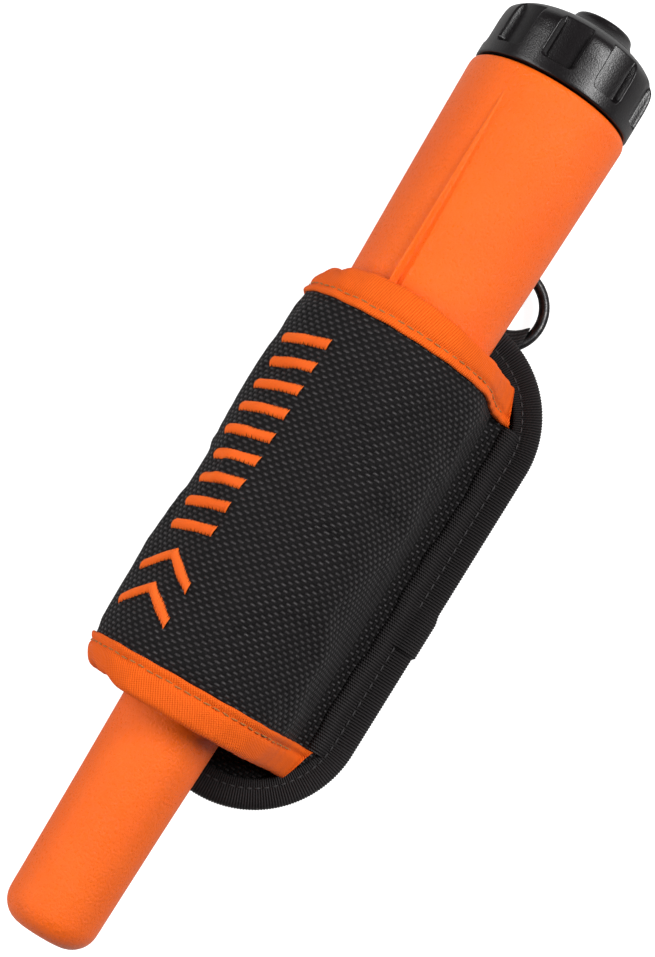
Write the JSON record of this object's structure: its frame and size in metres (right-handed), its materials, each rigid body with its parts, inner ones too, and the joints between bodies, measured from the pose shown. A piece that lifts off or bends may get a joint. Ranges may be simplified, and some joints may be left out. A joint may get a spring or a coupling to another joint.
{
  "type": "pinpointer probe",
  "caption": "Hand-held round metal-detecting probe with a fluted screw cap and end button, seated in a padded belt holster with a hanging ring.",
  "frame": {"origin": "on the outer face of the holster's belt loop, under the probe's axis, about midway along the sleeve", "axes": "+X along the probe towards its cap, +Z from the belt loop through the holster towards the probe, the stitched flap on the -Y side"},
  "size_m": [0.233, 0.0631, 0.0525],
  "materials": {
    "orange_plastic": "bright orange, fine satin grain",
    "cap_plastic": "black, fine matt grain",
    "black_plastic": "black",
    "grey_plastic": "grey",
    "natural_plastic": "uncoloured nylon",
    "green_board": "circuit board",
    "battery_label": "plain printed wrap, no text",
    "red_wire": "red insulation",
    "black_wire": "black insulation",
    "ferrite": "dark grey ferrite",
    "copper": "enamelled copper winding",
    "brass": "brass",
    "steel": "plated steel",
    "foam": "closed-cell foam",
    "black_rubber": "black rubber",
    "button_rubber": "black rubber, matt",
    "black_nylon": "coarse woven nylon",
    "black_webbing": "ribbed black tape",
    "orange_webbing": "ribbed orange tape",
    "gunmetal": "dark plated wire"
  },
  "bodies": {
    "holster": {"back_panel": "black_nylon", "edge_binding": "black_webbing", "sleeve": "black_nylon", "mouth_trim": "orange_webbing", "toe_trim": "orange_webbing", "belt_loop": "black_webbing", "ring_tab": "black_webbing"},
    "probe": {"housing": "orange_plastic", "ferrite_core": "ferrite", "coil_bobbin": "natural_plastic", "transmit_coil": "copper", "receive_coil": "copper", "tip_cushion": "foam", "coil_spacer": "foam", "coil_leads": "black_wire", "main_board": "green_board", "control_chip": "black_plastic", "capacitor_a": "grey_plastic", "capacitor_b": "grey_plastic", "buzzer": "black_plastic", "vibration_motor": "steel", "motor_clip": "steel", "bulkhead": "grey_plastic", "board_screw_a": "steel", "board_screw_b": "steel", "battery_snap": "black_plastic", "battery": "battery_label", "battery_plus": "steel", "battery_minus": "steel", "positive_lead": "red_wire", "negative_lead": "black_wire", "switch_strip": "brass"},
    "motor_weight": {"motor_weight": "brass"},
    "cap_seal": {"cap_seal": "black_rubber"},
    "cap": {"cap": "cap_plastic", "battery_pad": "foam", "contact_ring": "brass", "switch_board": "green_board", "tact_switch": "black_plastic"},
    "button": {"button": "button_rubber"},
    "ring": {"ring": "gunmetal"}
  },
  "joints": [
    {"name": "probe_draw", "type": "slide", "parent": "holster", "child": "probe", "axis": [1, 0, 0], "range_m": [0, 0.17]},
    {"name": "weight_spin", "type": "hinge", "parent": "probe", "child": "motor_weight", "pos_m": [0.003, 0, 0.037], "axis": [1, 0, 0], "continuous": true},
    {"name": "cap_lift", "type": "slide", "parent": "probe", "child": "cap_seal", "axis": [1, 0, 0], "range_m": [0, 0.0081]},
    {"name": "cap_turn", "type": "hinge", "parent": "cap_seal", "child": "cap", "pos_m": [0.1105, 0, 0.032], "axis": [1, 0, 0], "range_deg": [0, 720]},
    {"name": "button_press", "type": "slide", "parent": "cap", "child": "button", "axis": [-1, 0, 0], "range_m": [0, 0.0012], "stiffness_N_per_m": 600},
    {"name": "ring_swing", "type": "hinge", "parent": "holster", "child": "ring", "pos_m": [0.0624, -0.0156, 0.0033], "axis": [0, 1, 0], "range_deg": [-25, 120]}
  ],
  "couplings": [
    {"joint": "cap_lift", "follows": "cap_turn", "m_per_rad": 0.00063662}
  ]
}
